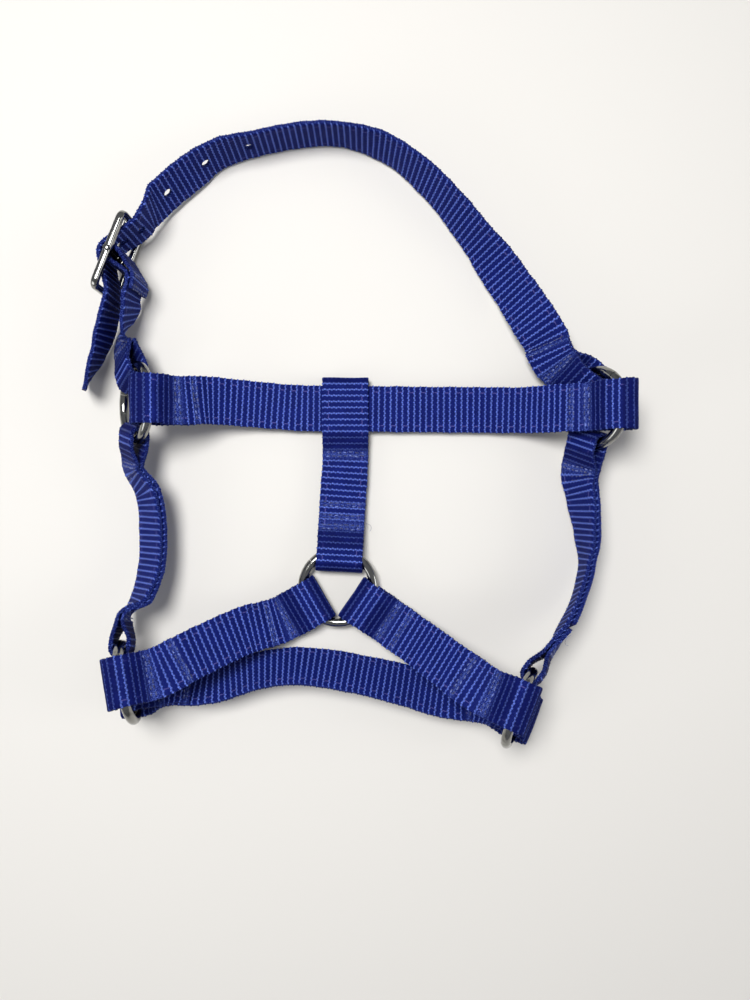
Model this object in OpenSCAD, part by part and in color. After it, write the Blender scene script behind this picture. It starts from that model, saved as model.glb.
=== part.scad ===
// Head halter made of ribbed webbing, five round rings and one centre bar buckle.
// Millimetres, +Z up, the halter lies on the plane z = 0.

/* [Webbing] */
// Width of every strap
strap_w = 19; // [15:0.5:23]
// Thickness of one layer of webbing
strap_t = 1.8; // [1.5:0.1:2.2]

/* [Rings and buckle] */
// Room beside the strap inside each ring
ring_room = 6.4; // [5:0.2:9]
// Wire diameter of the rings
ring_wire = 3.8; // [3:0.1:4.6]
// Diameter of the buckle's centre bar
bar_d = 2.6; // [2:0.1:3.2]
// Height of the buckle's window on each side of the centre bar
window_l = 12.2; // [11.5:0.1:15]
// Distance between two tongue holes
hole_step = 19; // [14:0.5:25]

/* [Size of the halter] */
// Distance between the two upper rings
top_span = 180.6; // [150:0.5:220]
// Distance from the upper rings down to the lower rings
cheek_drop = 115; // [95:0.5:140]
// Rise of the crown strap above the upper rings
crown_rise = 110; // [90:0.5:135]

/* [Hidden] */
gap = 0.3;
ply = strap_t / 2 + 0.08;
taper = 8;
step = 3.4;
kx = top_span / 180.6;
kd = cheek_drop / 115;
ku = crown_rise / 110;
ring_r = ring_wire / 2;
ring_c = (strap_w + ring_room) / 2 + ring_r;
function sag_of(f) = ring_c - ring_r - sqrt(pow(ring_c - ring_r, 2) - pow(f * strap_w / 2, 2));
blue = [0.07, 0.12, 0.55];
thread = [0.05, 0.08, 0.4];
nickel = [0.75, 0.74, 0.7];

// Vector helpers
function unit(v) = v / norm(v);
function flat_of(v, n) = v - (v * n) * n;
function mix(a, b, f) = a * (1 - f) + b * f;
function ease(f) = f <= 0 ? 0 : f >= 1 ? 1 : f * f * (3 - 2 * f);
function at(x, y, z) = [(x + 10.2) * kx, (y > 38 ? 38 + (y - 38) * ku : 38 + (y - 38) * kd) - 25.5, z + 0.09];
function lean_of(t, a) = unit(flat_of(cos(a) * unit([-t[1], t[0], 0]) + sin(a) * [0, 0, 1], t));

// Rings: centre, first and second direction in the ring's plane
lift = ring_c + ring_r + gap + strap_t + 2.8;
ring_ul = [at(-94.6, 38.5, ring_c + 1.2), [0, -1, 0], [0.6, 0, 0.8]];
ring_ur = [at(87, 36.3, ring_c + ring_r), [0, -1, 0], unit([0.5, 0, 0.866])];
ring_ll = [at(-96, -70.6, lift), unit([0.2, -0.98, 0]), unit([0.17, 0.035, 0.985])];
ring_lr = [at(56.3, -80.6, lift), unit([-0.34, -0.94, 0]), unit([-0.329, 0.119, 0.937])];
ring_ld = [at(-15.2, -35.9, ring_r + gap + strap_t + 0.15), [1, 0, 0], [0, 1, 0]];

// End of a strap that goes round a ring at angle phi and leaves along dir, gathered to f of its width
function ring_end(g, phi, dir, a, lf, f = 1) =
    let (sag = sag_of(f))
    let (rho = cos(phi) * g[1] + sin(phi) * g[2])
    let (tan = cos(phi) * g[2] - sin(phi) * g[1])
    let (axis = cross(g[1], g[2]))
    let (ref = cos(a) * [-dir[1], dir[0], 0] + sin(a) * [0, 0, 1])
    let (u = tan * (tan * ref >= 0 ? 1 : -1))
    let (d = unit(flat_of(dir, u)))
    let (along = abs(d * rho))
    let (across = abs(d * axis))
    [g[0] + rho * (ring_c - sag / 2) - d * sag / 2 * along, d, u,
        ring_r + sag / 2 * across + gap, sag * along + 1.5, lf, f];
// The same for the end where the strap arrives, its side turned over
function arriving(e) = [e[0], e[1], -e[2], e[3], e[4], e[5], e[6]];

// Buckle: centre of the bar and its three directions
buckle_w = strap_w + 1.6;
side_d = 2.8;
tongue_d = 1.8;
bar_gap = 1.5;
buckle_o = at(-102.6, 96.6, buckle_w / 2 + side_d + 0.1);
buckle_x = unit([0.367, 0.93, 0]);
buckle_y = [-buckle_x[1], buckle_x[0], 0];
function on_buckle(x, y) = buckle_o + x * buckle_x + y * buckle_y;
weave_top = bar_d / 2 + gap + max(tongue_d, strap_t) + 0.35 + strap_t / 2;
weave_low = -(side_d / 2 + bar_gap + strap_t / 2);
weave_x = bar_d / 2 + window_l + side_d / 2;

// Way of a strap: knots of place, direction and side, then samples between
function knots(a, mids, b) =
    let (ka = a == undef ? [] : [a[0], a[0] + a[1] * (a[4] + taper)])
    let (kb = b == undef ? [] : [b[0] + b[1] * (b[4] + taper), b[0]])
    let (p = concat(ka, [for (m = mids) m[0]], kb))
    let (n = len(p))
    [for (i = [0:n - 1])
        let (ina = i < len(ka))
        let (inb = i >= n - len(kb))
        let (t = ina ? a[1] : inb ? -b[1] : unit(p[min(i + 1, n - 1)] - p[max(i - 1, 0)]))
        [p[i], t, ina ? a[2] : inb ? b[2] : lean_of(t, mids[i - len(ka)][1])]];
function hermite(p, q, s, t, f) =
    let (l = norm(q - p))
    (2 * f * f * f - 3 * f * f + 1) * p + (f * f * f - 2 * f * f + f) * l * s
    + (3 * f * f - 2 * f * f * f) * q + (f * f * f - f * f) * l * t;
function samples(k) = [for (i = [0:len(k) - 2])
    let (l = norm(k[i + 1][0] - k[i][0]))
    let (n = max(1, ceil(l / step)))
    for (j = [0:n - (i == len(k) - 2 ? 0 : 1)])
        [hermite(k[i][0], k[i + 1][0], k[i][1], k[i + 1][1], j / n),
            unit(mix(k[i][2], k[i + 1][2], ease(j / n)))]];
function lengths(m, i = 0, s = 0) = i >= len(m) ? [] :
    let (d = i == 0 ? 0 : norm(m[i][0] - m[i - 1][0]))
    concat([s + d], lengths(m, i + 1, s + d));
// Way as a list of [place, direction, side, face normal, length so far]
function way(a, mids, b) =
    let (m = samples(knots(a, mids, b)))
    let (s = lengths(m))
    let (n = len(m) - 1)
    [for (i = [0:n])
        let (t = unit(m[min(i + 1, n)][0] - m[max(i - 1, 0)][0]))
        let (u = unit(flat_of(m[i][1], t)))
        [m[i][0], t, u, cross(t, u), s[i]]];
// Distance of a layer from the way, s along from a looped end
function spread(s, e, full) =
    e == undef ? 0
    : s < e[4] ? e[3] + strap_t / 2
    : s < e[4] + taper ? mix(e[3] + strap_t / 2, ply, ease((s - e[4]) / taper))
    : (full || s < e[5] + 1) ? ply
    : ply * (1 - ease((s - e[5] - 1) / 6));
function layer(w, a, b, full) =
    let (l = w[len(w) - 1][4])
    [for (p = w) max(spread(p[4], a, full), spread(l - p[4], b, full))];
function bend(e, n, turn) = e == undef ? [] : [for (i = [1:7])
    let (c = turn * (90 - i * 22.5))
    e[0] - e[1] * cos(c) * (e[3] + strap_t / 2) + n * sin(c) * (e[3] + strap_t / 2)];
// Width of a loose end that is cut round
function tip(s) = s < -7 ? 1 : 0.45 + 0.55 * sqrt(max(0, 1 - pow((s + 7) / 7, 2)));
function gather(s, e) = e == undef ? 1 : mix(e[6], 1, ease((s - e[4]) / taper));
// All stations of a strap: flap, fold, main layer, fold, flap. A flap's facets turn the other way, so that
// they lie along the main layer's.
function strap_line(w, a, b, full) =
    let (h = layer(w, a, b, full))
    let (n = len(w) - 1)
    let (l = w[n][4])
    let (g = [for (p = w) min(gather(p[4], a), gather(l - p[4], b), b == undef ? tip(p[4] - l) : 1)])
    concat(
        a == undef ? [] : [for (i = [n:-1:0]) if (w[i][4] <= a[5])
            [w[i][0] - w[i][3] * h[i], w[i][2], g[i], true]],
        [for (p = bend(a, w[0][3], -1)) [p, w[0][2], g[0]]],
        [for (i = [0:n]) [w[i][0] + w[i][3] * h[i], w[i][2], g[i]]],
        [for (p = bend(b, w[n][3], 1)) [p, w[n][2], g[n]]],
        b == undef ? [] : [for (i = [n:-1:0]) if (l - w[i][4] <= b[5])
            [w[i][0] - w[i][3] * h[i], w[i][2], g[i], true]]);
module webbing(line, width = strap_w, thick = strap_t) {
    n = len(line) - 1;
    corners = [for (i = [0:n])
        let (t = unit(line[min(i + 1, n)][0] - line[max(i - 1, 0)][0]))
        let (u = unit(flat_of(line[i][1], t)))
        let (v = cross(t, u))
        for (c = [[-1, -1], [1, -1], [1, 1], [-1, 1]])
            line[i][0] + u * c[0] * line[i][2] * width / 2 + v * c[1] * thick / 2];
    walls = [for (i = [0:n - 1]) for (j = [0:3])
        let (a = 4 * i + j)
        let (b = 4 * i + (j + 1) % 4)
        for (f = line[i][3] == true
            ? [[a, a + 4, b + 4], [a, b + 4, b]]
            : [[a, a + 4, b], [b, a + 4, b + 4]]) f];
    polyhedron(points = corners, faces = concat(walls, [[0, 1, 2], [0, 2, 3],
        [4 * n + 2, 4 * n + 1, 4 * n], [4 * n + 3, 4 * n + 2, 4 * n]]));
}

// Place at a length along a way
function seek(w, s, k) = [for (c = [0:2]) lookup(s, [for (p = w) [p[4], p[k][c]]])];
module stitch_row(w, s, across) {
    p = seek(w, s, 0);
    t = unit(seek(w, s, 1));
    u = unit(flat_of(seek(w, s, 2), t));
    v = cross(t, u);
    deep = 2 * (ply + strap_t / 2) + 0.5;
    for (i = [-1, 1])
        for (j = [0:2]) {
            o = p + u * i * (across * (j + 0.5) / 3);
            multmatrix([[t[0], u[0], v[0], o[0]], [t[1], u[1], v[1], o[1]], [t[2], u[2], v[2], o[2]]])
                cube([0.6, across / 3 - 0.9, deep], center = true);
        }
}
module stitches(w, from, to) {
    color(thread) {
        stitch_row(w, from, strap_w / 2 - 1);
        stitch_row(w, to, strap_w / 2 - 1);
    }
}
module ring(g) {
    axis = cross(g[1], g[2]);
    color(nickel)
        multmatrix([[g[1][0], g[2][0], axis[0], g[0][0]], [g[1][1], g[2][1], axis[1], g[0][1]],
            [g[1][2], g[2][2], axis[2], g[0][2]]])
            rotate_extrude($fn = 96)
                translate([ring_c, 0])
                    circle(r = ring_r, $fn = 32);
}
module on_buckle_frame() {
    multmatrix([[buckle_x[0], buckle_y[0], 0, buckle_o[0]], [buckle_x[1], buckle_y[1], 0, buckle_o[1]],
        [0, 0, 1, buckle_o[2]]])
        children();
}

// Throat strap
throat_a = ring_end(ring_ul, 90, unit([1, 0, -0.35]), 0, 20);
throat_b = arriving(ring_end(ring_ur, 90, unit([-1, 0, -0.7]), 0, 22));
jaw_z = strap_t / 2 + 0.15;
throat_z = jaw_z + strap_t + 0.3;
jaw_x = -12.2;
throat_way = way(throat_a, [
    [at(-66, 39.8, 13), 0], [at(-50, 39.2, 6), 0], [at(-31, 38, throat_z), 0],
    [at(jaw_x, 37.8, throat_z), 0], [at(10, 37.5, throat_z), 0], [at(45, 37.2, throat_z), 0],
    [at(60, 36.8, 6), 0], [at(70, 36.5, 13), 0]], throat_b);
module throat_strap() {
    color(blue)
        webbing(strap_line(throat_way, throat_a, throat_b, false));
}
module stitch_throat_left() {
    stitches(throat_way, throat_a[4] + taper + 1, throat_a[5] - 1.5);
}
module stitch_throat_right() {
    l = throat_way[len(throat_way) - 1][4];
    stitches(throat_way, l - throat_b[4] - taper - 1, l - throat_b[5] + 1.5);
}

// Jaw strap: over the throat strap at the top, round the lead ring below
jaw_b = arriving(ring_end(ring_ld, 87, [0, 1, 0], 0, 20));
jaw_top = at(jaw_x, 37.8, throat_z) + [0, strap_w / 2 + 0.4, 0];
// The upper flap stops this far short of the lower one, whatever the strap's length
flap_gap = 2.3;
jaw_a = [jaw_top, [0, -1, 0], [1, 0, 0], strap_t / 2 + 0.3, strap_w + 1,
    norm(jaw_top - jaw_b[0]) - jaw_b[5] - flap_gap, 1];
jaw_way = way(jaw_a, [[at(-13.4, -2, jaw_z + strap_t), 0]], jaw_b);
module jaw_strap() {
    color(blue)
        webbing(strap_line(jaw_way, jaw_a, jaw_b, false));
}
module stitch_jaw_top() {
    stitches(jaw_way, jaw_a[4] + taper + 0.5, jaw_a[5] - 1.5);
}
module stitch_jaw_ring() {
    l = jaw_way[len(jaw_way) - 1][4];
    stitches(jaw_way, l - jaw_b[4] - taper - 0.5, l - jaw_b[5] + 1.5);
}

// Crown strap: from the upper right ring over the arch, woven through the buckle
crown_a = ring_end(ring_ur, 212, unit([-0.78, 0.62, 0.1]), 130, 24);
hang = strap_w / 2 + 0.2;
crown_mids = [
    [at(66.5, 67.5, 12), 146], [at(53.4, 89.7, strap_w * 0.38 + 1), 135], [at(38.6, 109.5, hang - 0.6), 115],
    [at(23.1, 127.7, hang), 106], [at(5, 142, hang), 98], [at(-14.2, 147.9, hang), 90],
    [at(-30.4, 147.5, hang), 90], [at(-46.5, 144.5, hang), 90], [at(-62.7, 140.2, hang), 96],
    [at(-74.9, 131.7, hang + 0.4), 106], [at(-87, 120.6, hang + 1.6), 104],
    [on_buckle(weave_x + 5, weave_low - 1.2), 90], [on_buckle(weave_x - 0.6, weave_low), 90],
    [on_buckle(5, weave_top - 2.1), 90], [on_buckle(0, weave_top), 90],
    [on_buckle(-5, weave_top - 2.1), 90], [on_buckle(0.6 - weave_x, weave_low), 90],
    [on_buckle(-weave_x - 5, weave_low - 0.8), 90],
    [at(-108.6, 67, hang + 2), 90], [at(-112, 57.5, hang + 1), 82], [at(-118, 45, hang - 0.8), 66]];
crown_way = way(crown_a, crown_mids, undef);
module crown_strap() {
    line = strap_line(crown_way, crown_a, undef, false);
    w = crown_way;
    bar_s = w[len(w) - 1][4] - 55;
    color(blue)
        difference() {
            webbing(line);
            on_buckle_frame()
                translate([0.5, 0, -tongue_d / 2 - 0.7])
                    cube([8, weave_top + 3, tongue_d + 1.4]);
            for (i = [1:4]) {
                p = seek(w, bar_s - i * hole_step, 0);
                v = unit(seek(w, bar_s - i * hole_step, 3));
                u = [0, 0, 1];
                t = cross(u, v);
                multmatrix([[t[0], u[0], v[0], p[0]], [t[1], u[1], v[1], p[1]], [t[2], u[2], v[2], p[2]]])
                    cylinder(r = 1.9, h = 4 * strap_t, center = true, $fn = 24);
            }
        }
}
module stitch_crown() {
    stitches(crown_way, crown_a[4] + taper + 1, crown_a[5] - 1.5);
}

// Buckle strap: from the buckle's centre bar to the upper left ring
bs_a = [buckle_o, unit(-0.42 * buckle_x - 0.9 * buckle_y), [0, 0, 1], bar_d / 2 + gap, 1.5, 17, 1];
bs_b = arriving(ring_end(ring_ul, 203, unit([0.1, 1, 0.3]), -90, 17, 0.8));
bs_way = way(bs_a, [[at(-97.2, 79, hang + 3), 90]], bs_b);
module buckle_strap() {
    color(blue)
        difference() {
            webbing(strap_line(bs_way, bs_a, bs_b, false));
            on_buckle_frame()
                cylinder(r = bar_d / 2 + gap + tongue_d + 0.35, h = tongue_d + 1, center = true, $fn = 64);
        }
}
module stitch_buckle_strap() {
    l = bs_way[len(bs_way) - 1][4];
    stitches(bs_way, bs_a[4] + taper + 2, bs_a[5] - 1.5);
    stitches(bs_way, l - bs_b[4] - taper - 0.5, l - bs_b[5] + 0.8);
}

// Cheek straps: two layers all along
cl_a = ring_end(ring_ul, -12, unit([0.02, -1, 0]), 50, 70 * kd, 0.75);
cl_b = arriving(ring_end(ring_ll, 190, unit([0.05, 1, 0]), -80, 22, 0.6));
cl_way = way(cl_a, [
    [at(-91.4, 2, 10.2), 51], [at(-90, -13, 9.2), 48], [at(-90.4, -27, 9.8), 50],
    [at(-93.2, -38.5, 12.4), 60]], cl_b);
module cheek_strap_left() {
    color(blue)
        webbing(strap_line(cl_way, cl_a, cl_b, true));
}
module stitch_cheek_left() {
    l = cl_way[len(cl_way) - 1][4];
    stitches(cl_way, cl_a[4] + taper + 1, cl_a[4] + taper + 5);
    stitches(cl_way, l - cl_b[4] - taper - 1, l - cl_b[4] - taper - 5);
}
cr_a = ring_end(ring_ur, -18, unit([-0.02, -1, 0]), 75, 78 * kd, 0.8);
cr_b = arriving(ring_end(ring_lr, 190, unit([0.6, 0.8, 0]), -80, 22, 0.6));
cr_way = way(cr_a, [
    [at(83.9, 0, 10.6), 72], [at(85.6, -14.2, hang + 0.8), 82], [at(85.2, -27, hang + 1.4), 96],
    [at(81.6, -39, 13), 100], [at(75.6, -50, 16), 100]], cr_b);
module cheek_strap_right() {
    color(blue)
        webbing(strap_line(cr_way, cr_a, cr_b, true));
}
module stitch_cheek_right() {
    l = cr_way[len(cr_way) - 1][4];
    stitches(cr_way, cr_a[4] + taper + 1, cr_a[4] + taper + 5);
    stitches(cr_way, l - cr_b[4] - taper - 1, l - cr_b[4] - taper - 5);
}

// Chin straps: from the lower rings to the lead ring
nl_a = ring_end(ring_ll, 102, unit([0.93, 0.34, -0.3]), 0, 24);
nl_b = arriving(ring_end(ring_ld, 210, [cos(210), sin(210), 0], 0, 24));
nl_way = way(nl_a, [[at(-70, -59.2, 25.5), 0], [at(-52, -51.9, 15), 0]], nl_b);
module chin_strap_left() {
    color(blue)
        webbing(strap_line(nl_way, nl_a, nl_b, false));
}
module stitch_chin_left_outer() {
    stitches(nl_way, nl_a[4] + taper + 1, nl_a[5] - 1.5);
}
module stitch_chin_left_lead() {
    l = nl_way[len(nl_way) - 1][4];
    stitches(nl_way, l - nl_b[4] - taper - 1, l - nl_b[5] + 1.5);
}
nr_a = ring_end(ring_ld, 326, [cos(326), sin(326), 0], 0, 24);
nr_b = arriving(ring_end(ring_lr, 102, unit([-0.85, 0.52, -0.3]), 0, 24));
nr_way = way(nr_a, [[at(18, -57.5, 13), 0], [at(31, -65.5, 24), 0]], nr_b);
module chin_strap_right() {
    color(blue)
        webbing(strap_line(nr_way, nr_a, nr_b, false));
}
module stitch_chin_right_lead() {
    stitches(nr_way, nr_a[4] + taper + 1, nr_a[5] - 1.5);
}
module stitch_chin_right_outer() {
    l = nr_way[len(nr_way) - 1][4];
    stitches(nr_way, l - nr_b[4] - taper - 1, l - nr_b[5] + 1.5);
}

// Nose strap: behind the chin straps, between the lower rings
ns_a = ring_end(ring_ll, -60, unit([1, 0.35, 0]), 150, 24);
ns_b = arriving(ring_end(ring_lr, -66, unit([-1, 0.2, 0]), 170, 24));
nose_z = strap_w * 0.4 + 0.9;
ns_way = way(ns_a, [
    [at(-66, -74.6, nose_z), 130], [at(-48, -69.3, nose_z), 128], [at(-34.2, -67.4, nose_z), 128],
    [at(-22.4, -68, nose_z), 128], [at(-8, -70.4, nose_z), 130], [at(10, -74.5, nose_z), 134],
    [at(28, -79.5, nose_z - 0.6), 142]], ns_b);
module nose_strap() {
    color(blue)
        webbing(strap_line(ns_way, ns_a, ns_b, false));
}
module stitch_nose_left() {
    stitches(ns_way, ns_a[4] + taper + 1, ns_a[5] - 1.5);
}
module stitch_nose_right() {
    l = ns_way[len(ns_way) - 1][4];
    stitches(ns_way, l - ns_b[4] - taper - 1, l - ns_b[5] + 1.5);
}

// Metal
module ring_upper_left() {
    ring(ring_ul);
}
module ring_upper_right() {
    ring(ring_ur);
}
module ring_lower_left() {
    ring(ring_ll);
}
module ring_lower_right() {
    ring(ring_lr);
}
module ring_lead() {
    ring(ring_ld);
}
module rounded(l, h, r) {
    square([l - 2 * r, h], center = true);
    square([l, h - 2 * r], center = true);
    for (x = [-1, 1])
        for (y = [-1, 1])
            translate([x * (l / 2 - r), y * (h / 2 - r)])
                circle(r = r, $fn = 32);
}
module buckle_frame() {
    inner = 2 * window_l + bar_d;
    color(nickel)
        on_buckle_frame() {
            rotate([90, 0, 0])
                linear_extrude(side_d, center = true)
                    difference() {
                        rounded(inner + 2 * side_d, buckle_w + 2 * side_d, 4);
                        rounded(inner, buckle_w, 1.5);
                    }
            cylinder(r = bar_d / 2, h = buckle_w + side_d, center = true, $fn = 32);
        }
}
module buckle_tongue() {
    eye = bar_d / 2 + gap + tongue_d / 2;
    shank = tongue_d / 2 - 0.1;
    color(nickel)
        on_buckle_frame() {
            rotate_extrude($fn = 72)
                translate([eye, 0])
                    circle(r = tongue_d / 2, $fn = 48);
            translate([0.4, eye, 0])
                rotate([0, 90, 0])
                    cylinder(r = shank, h = weave_x + side_d / 2 - 0.4, $fn = 48);
            translate([weave_x + side_d / 2, eye, 0])
                rotate([0, 90, 0])
                    cylinder(r1 = shank, r2 = shank / 2, h = 1, $fn = 48);
        }
}

throat_strap();
jaw_strap();
crown_strap();
buckle_strap();
cheek_strap_left();
cheek_strap_right();
chin_strap_left();
chin_strap_right();
nose_strap();
ring_upper_left();
ring_upper_right();
ring_lower_left();
ring_lower_right();
ring_lead();
buckle_frame();
buckle_tongue();
stitch_throat_left();
stitch_throat_right();
stitch_jaw_top();
stitch_jaw_ring();
stitch_crown();
stitch_buckle_strap();
stitch_cheek_left();
stitch_cheek_right();
stitch_chin_left_outer();
stitch_chin_left_lead();
stitch_chin_right_outer();
stitch_chin_right_lead();
stitch_nose_left();
stitch_nose_right();
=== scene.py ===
import math
import random
from collections import namedtuple

import bpy
import numpy as np
from mathutils import Matrix, Vector


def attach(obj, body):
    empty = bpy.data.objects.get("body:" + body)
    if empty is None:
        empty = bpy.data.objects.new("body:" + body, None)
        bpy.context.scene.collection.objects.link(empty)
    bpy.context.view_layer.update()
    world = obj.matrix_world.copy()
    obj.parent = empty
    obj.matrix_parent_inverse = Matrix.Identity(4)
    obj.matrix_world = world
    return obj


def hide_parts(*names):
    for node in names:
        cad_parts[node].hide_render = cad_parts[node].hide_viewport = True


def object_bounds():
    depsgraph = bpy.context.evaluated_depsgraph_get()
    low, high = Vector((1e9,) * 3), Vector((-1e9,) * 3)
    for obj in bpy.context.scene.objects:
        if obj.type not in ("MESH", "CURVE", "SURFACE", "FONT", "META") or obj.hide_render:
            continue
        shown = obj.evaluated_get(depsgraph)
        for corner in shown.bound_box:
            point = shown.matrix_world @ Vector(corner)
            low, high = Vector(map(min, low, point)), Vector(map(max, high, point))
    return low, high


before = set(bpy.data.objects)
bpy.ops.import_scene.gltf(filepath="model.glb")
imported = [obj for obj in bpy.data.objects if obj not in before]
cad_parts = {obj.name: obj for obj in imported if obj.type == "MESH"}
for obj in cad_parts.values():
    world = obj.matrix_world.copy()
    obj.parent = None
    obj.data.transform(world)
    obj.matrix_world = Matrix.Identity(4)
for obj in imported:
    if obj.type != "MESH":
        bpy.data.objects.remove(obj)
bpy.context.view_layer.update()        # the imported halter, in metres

bpy.ops.object.select_all(action="DESELECT")


# ---------------------------------------------------------------------------
# Throat strap: 19 mm ribbed nylon webbing, 1.8 mm thick, dyed royal blue. It is
# woven as one flat strip, cut to length, and each end is folded round a ring
# and sewn back on itself. All the other straps are cut from the same webbing.
# ---------------------------------------------------------------------------
MM = 0.001
strap_w = 19 * MM
strap_t = 1.8 * MM
rib = 2.45 * MM
ring_wire = 3.8 * MM
ring_c = 14.6 * MM
gap = 0.3 * MM
ply = strap_t / 2 + 0.08 * MM
taper = 8 * MM
tip = 7 * MM
settle = 6 * MM
step = 0.8 * MM
fold_steps = 18
selvage_at = 20 * MM
look_along = 0.35 * MM

# The weave: one rib of the flat strip, open at both ends, ribs running across.
bpy.ops.mesh.primitive_cube_add(size=1, location=(rib / 2, 0, 0), scale=(rib, strap_w, strap_t))
one_rib = bpy.context.object
one_rib.name = "one_rib"
bpy.ops.object.transform_apply(location=True, rotation=True, scale=True)


def select_in(piece, kind, test):
    """Selects, in edit mode, the faces, edges or vertices that pass the test."""
    bpy.ops.object.mode_set(mode="EDIT")
    bpy.ops.mesh.select_mode(type=kind)
    bpy.ops.mesh.select_all(action="DESELECT")
    bpy.ops.object.mode_set(mode="OBJECT")
    mesh = piece.data
    parts = {"VERT": mesh.vertices, "EDGE": mesh.edges, "FACE": mesh.polygons}[kind]
    for part in parts:
        part.select = test(part)
    bpy.ops.object.mode_set(mode="EDIT")


def runs_along(mesh, edge, axis):
    """True if an edge runs along that axis."""
    a, b = (mesh.vertices[i].co for i in edge.vertices)
    return abs((b - a).normalized()[axis]) > 0.99


select_in(one_rib, "FACE", lambda f: abs(f.normal.x) > 0.9)
bpy.ops.mesh.delete(type="ONLY_FACE")
select_in(one_rib, "EDGE", lambda e: runs_along(one_rib.data, e, 0))
bpy.ops.mesh.bevel(offset=0.55 * MM, segments=3, affect="EDGES")
select_in(one_rib, "EDGE", lambda e: runs_along(one_rib.data, e, 0))
bpy.ops.mesh.subdivide(number_cuts=9)
flat_edge = 4 * MM


def edge_length(mesh, edge):
    a, b = (mesh.vertices[i].co for i in edge.vertices)
    return (b - a).length


select_in(one_rib, "EDGE", lambda e: runs_along(one_rib.data, e, 1)
          and edge_length(one_rib.data, e) > flat_edge)
bpy.ops.mesh.subdivide(number_cuts=17)
# Rows of the rib from the middle of one flat bar to the next, the raised thread row halfway.
row_height = [0.95, 0.945, 0.92, 0.82, 0.98, 1.1, 0.98, 0.82, 0.92, 0.945, 0.95]
row_width = [0.992, 0.99, 0.986, 0.982, 1.004, 1.018, 1.004, 0.982, 0.986, 0.99, 0.992]
for row, (height, width) in enumerate(zip(row_height, row_width)):
    select_in(one_rib, "VERT", lambda v: abs(v.co.x - row * rib / 10) < rib / 50)
    bpy.ops.transform.resize(value=(1, width, height), center_override=(row * rib / 10, 0, 0))
bpy.ops.object.mode_set(mode="OBJECT")
bpy.ops.object.shade_smooth()


def weave_strip(name, length):
    """A flat strip of webbing of that length, along X, with the far end closed."""
    strip = one_rib.copy()
    strip.data = one_rib.data.copy()
    strip.name = strip.data.name = name
    bpy.context.collection.objects.link(strip)
    bpy.ops.object.select_all(action="DESELECT")
    strip.select_set(True)
    bpy.context.view_layer.objects.active = strip
    repeat = strip.modifiers.new("repeat", "ARRAY")
    repeat.use_relative_offset = False
    repeat.use_constant_offset = True
    repeat.constant_offset_displace = (rib, 0, 0)
    repeat.count = max(2, round(length / rib))
    repeat.use_merge_vertices = True
    repeat.merge_threshold = 0.01 * MM
    woven = repeat.count * rib
    bpy.ops.object.modifier_apply(modifier=repeat.name)
    select_in(strip, "VERT", lambda v: v.co.x < 0.02 * MM)
    bpy.ops.mesh.edge_face_add()
    select_in(strip, "VERT", lambda v: v.co.x > woven - 0.02 * MM)
    bpy.ops.mesh.edge_face_add()
    bpy.ops.mesh.select_all(action="SELECT")
    bpy.ops.mesh.normals_make_consistent(inside=False)
    bpy.ops.object.mode_set(mode="OBJECT")
    return strip, woven


End = namedtuple("End", "place away side reach straight flap gather")


def at(x, y, z):
    return Vector((x + 10.2, y - 25.5, z + 0.09)) * MM


def unit(*v):
    return Vector(v).normalized()


def flat_of(v, n):
    return v - v.dot(n) * n


def ease(f):
    f = min(1, max(0, f))
    return f * f * (3 - 2 * f)


def lean_of(t, degrees):
    """A strap's side direction, leaning that far from lying flat."""
    turn = math.radians(degrees)
    level = Vector((-t.y, t.x, 0)).normalized()
    return flat_of(math.cos(turn) * level + math.sin(turn) * Vector((0, 0, 1)), t).normalized()


def ring_end(ring, degrees, leaving, lean, flap, gather=1.0):
    """The end of a strap that goes round a ring at that angle and leaves along that way."""
    room = ring_c - ring_wire / 2
    sag = room - math.sqrt(room ** 2 - (gather * strap_w / 2) ** 2)
    phi = math.radians(degrees)
    rho = math.cos(phi) * ring[1] + math.sin(phi) * ring[2]
    tangent = math.cos(phi) * ring[2] - math.sin(phi) * ring[1]
    axis = ring[1].cross(ring[2])
    turn = math.radians(lean)
    ref = math.cos(turn) * Vector((-leaving.y, leaving.x, 0)) + math.sin(turn) * Vector((0, 0, 1))
    side = tangent if tangent.dot(ref) >= 0 else -tangent
    away = flat_of(leaving, side).normalized()
    along = abs(away.dot(rho))
    across = abs(away.dot(axis))
    return End(ring[0] + rho * (ring_c - sag / 2) - away * sag / 2 * along, away, side,
               ring_wire / 2 + sag / 2 * across + gap, sag * along + 1.5 * MM, flap * MM, gather)


def arriving(end):
    return end._replace(side=-end.side)


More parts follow.
